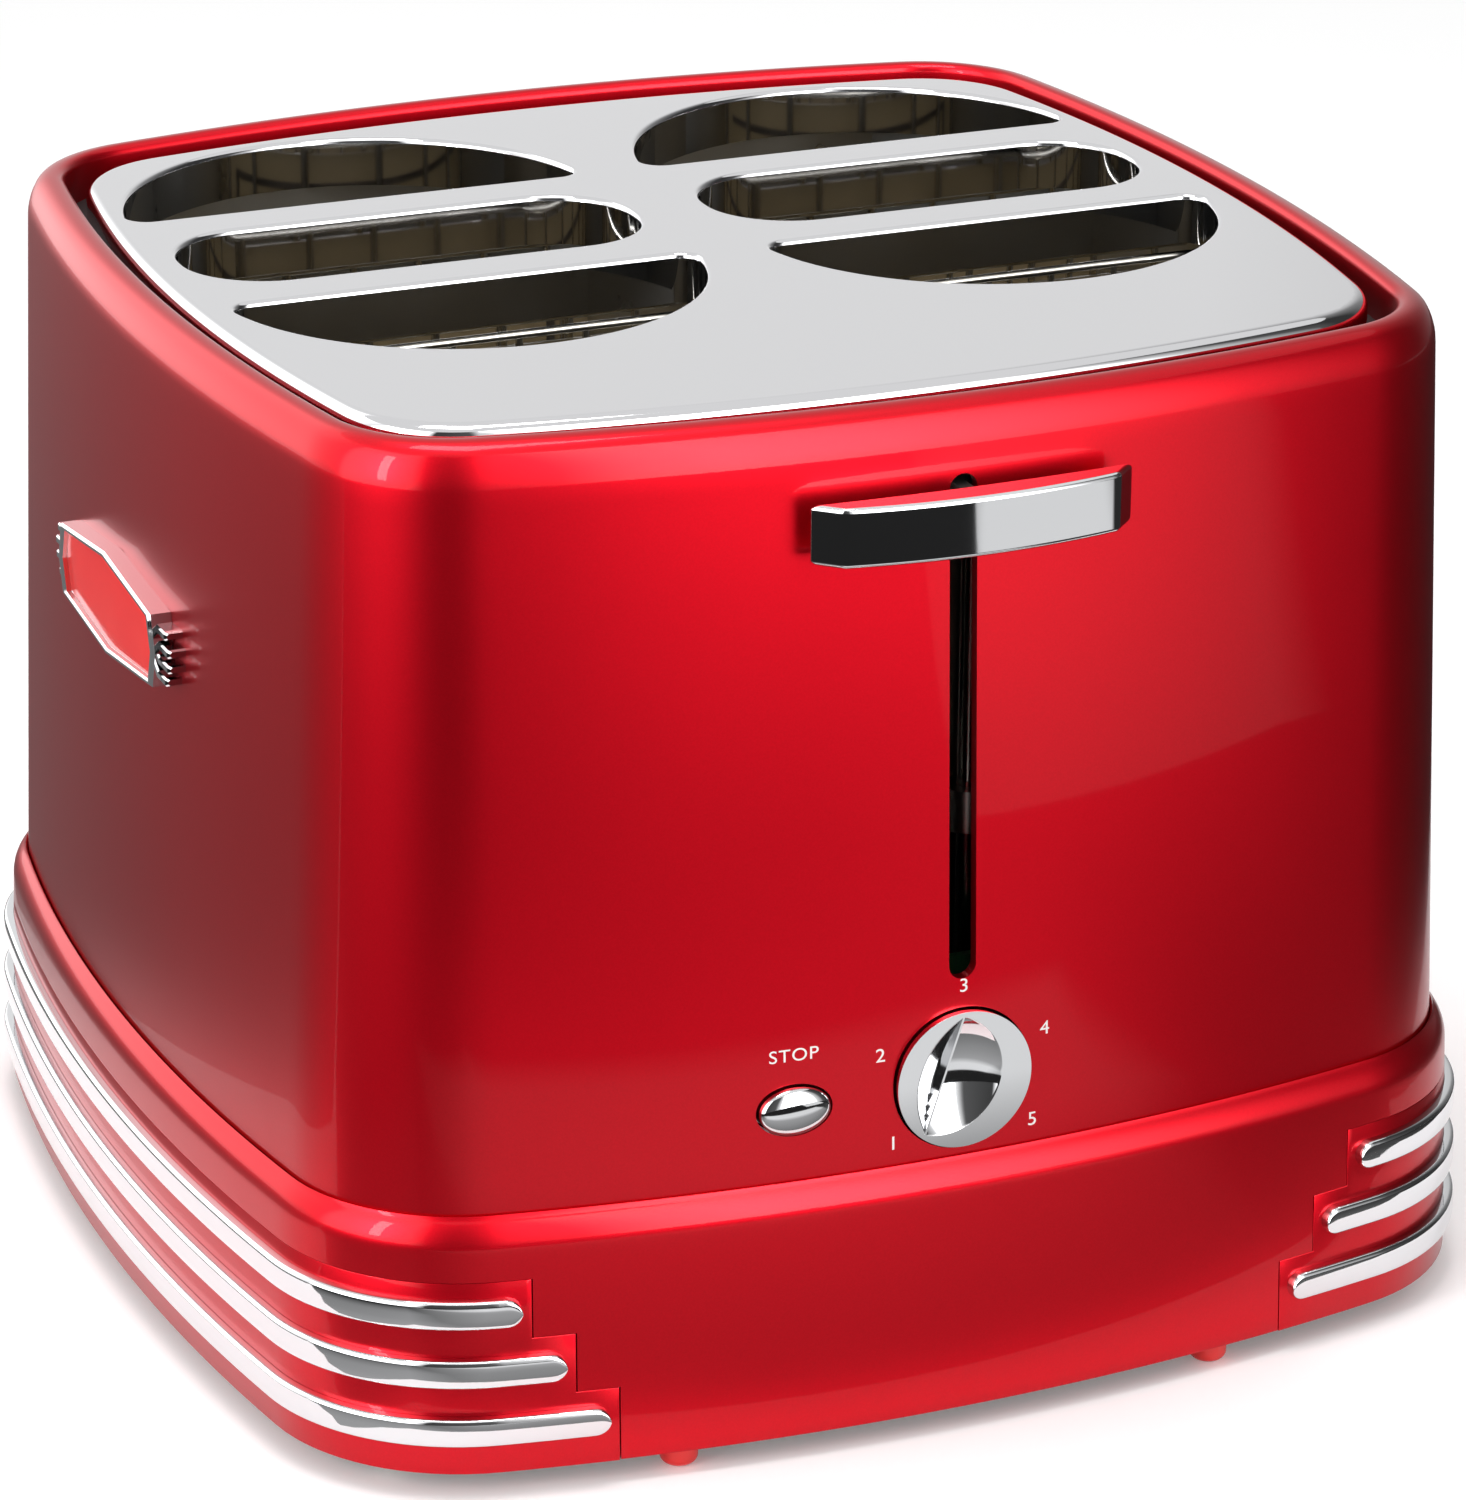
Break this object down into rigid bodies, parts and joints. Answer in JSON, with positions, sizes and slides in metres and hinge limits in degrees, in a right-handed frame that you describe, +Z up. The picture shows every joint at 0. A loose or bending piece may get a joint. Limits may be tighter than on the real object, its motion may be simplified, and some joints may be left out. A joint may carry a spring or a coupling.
{
  "type": "hot dog toaster",
  "caption": "Square pop-up hot dog and bun toaster with bowed walls, chrome slotted top, front lever, timer knob, stop button, flared ribbed skirt and rear drip tray.",
  "frame": {"origin": "middle of the body's plan, on the surface that the feet stand on", "axes": "+X to the right as seen from the front, +Y from the front to the back, +Z up"},
  "size_m": [0.2508, 0.2457, 0.1905],
  "materials": {
    "red_paint": "metallic candy red, clear coated",
    "chrome_trim": "polished plating",
    "red_insert": "clear coral red",
    "chrome_plate": "mirror polished",
    "black_plastic": "moulded",
    "sheet_steel": "galvanised sheet",
    "mica": "pressed mica",
    "ribbon": "resistance ribbon",
    "wire": "drawn and plated",
    "iron": "soft iron",
    "copper": "enamelled copper winding",
    "board": "laminate with solder mask",
    "white_plastic": "moulded"
  },
  "bodies": {
    "housing": {"body_shell": "red_paint", "base_skirt": "red_paint", "trim_panel_left": "red_paint", "trim_panel_right": "red_paint", "rib_left_lower": "chrome_trim", "rib_left_middle": "chrome_trim", "rib_left_upper": "chrome_trim", "rib_right_lower": "chrome_trim", "rib_right_middle": "chrome_trim", "rib_right_upper": "chrome_trim", "badge_frame": "chrome_trim", "badge_insert": "red_insert", "top_plate": "chrome_plate", "top_collar": "black_plastic", "bottom_plate": "black_plastic", "feet": "red_insert", "bottom_screws": "wire", "chassis_front": "sheet_steel", "chassis_wrap": "sheet_steel", "aisle_sheet_left": "sheet_steel", "aisle_sheet_right": "sheet_steel", "heater_card_front_left": "mica", "heater_card_front_right": "mica", "heater_card_rear_left": "mica", "heater_card_rear_right": "mica", "heater_ribbon_front_left": "ribbon", "heater_ribbon_front_right": "ribbon", "heater_ribbon_rear_left": "ribbon", "heater_ribbon_rear_right": "ribbon", "guard_bun_front": "wire", "guard_dog_front": "wire", "guard_dog_rear": "wire", "guard_bun_rear": "wire", "guide_rods": "wire", "magnet_core": "iron", "magnet_coil": "copper", "circuit_board": "board", "board_screws": "wire", "timer_pot": "black_plastic", "stop_switch": "black_plastic", "cord_gland": "black_plastic", "return_spring": "wire"},
    "carriage": {"slider": "sheet_steel", "lever_blade": "sheet_steel", "lever_handle": "chrome_trim", "carriage_frame": "sheet_steel", "armature": "iron", "bun_lifter_front_left": "wire", "bun_lifter_front_right": "wire", "bun_lifter_rear_left": "wire", "bun_lifter_rear_right": "wire", "dog_cups_left": "wire", "dog_cups_right": "wire"},
    "knob": {"knob": "chrome_trim", "knob_shaft": "wire"},
    "stop_button": {"stop_button": "chrome_trim", "switch_plunger": "white_plastic"},
    "drip_tray": {"drip_tray": "sheet_steel"}
  },
  "joints": [
    {"name": "lever_slide", "type": "slide", "parent": "housing", "child": "carriage", "axis": [0, 0, 1], "range_m": [-0.08, 0], "stiffness_N_per_m": 80, "springref_m": 0.12, "deforming": ["return_spring"]},
    {"name": "knob_turn", "type": "hinge", "parent": "housing", "child": "knob", "pos_m": [0, -0.11685, 0.067], "axis": [0, 1, 0], "range_deg": [0, 256]},
    {"name": "stop_press", "type": "slide", "parent": "housing", "child": "stop_button", "axis": [0, 1, 0], "range_m": [0, 0.0018], "stiffness_N_per_m": 600, "springref_m": -0.001},
    {"name": "drip_tray_slide", "type": "slide", "parent": "housing", "child": "drip_tray", "axis": [0, 1, 0], "range_m": [0, 0.13]}
  ]
}
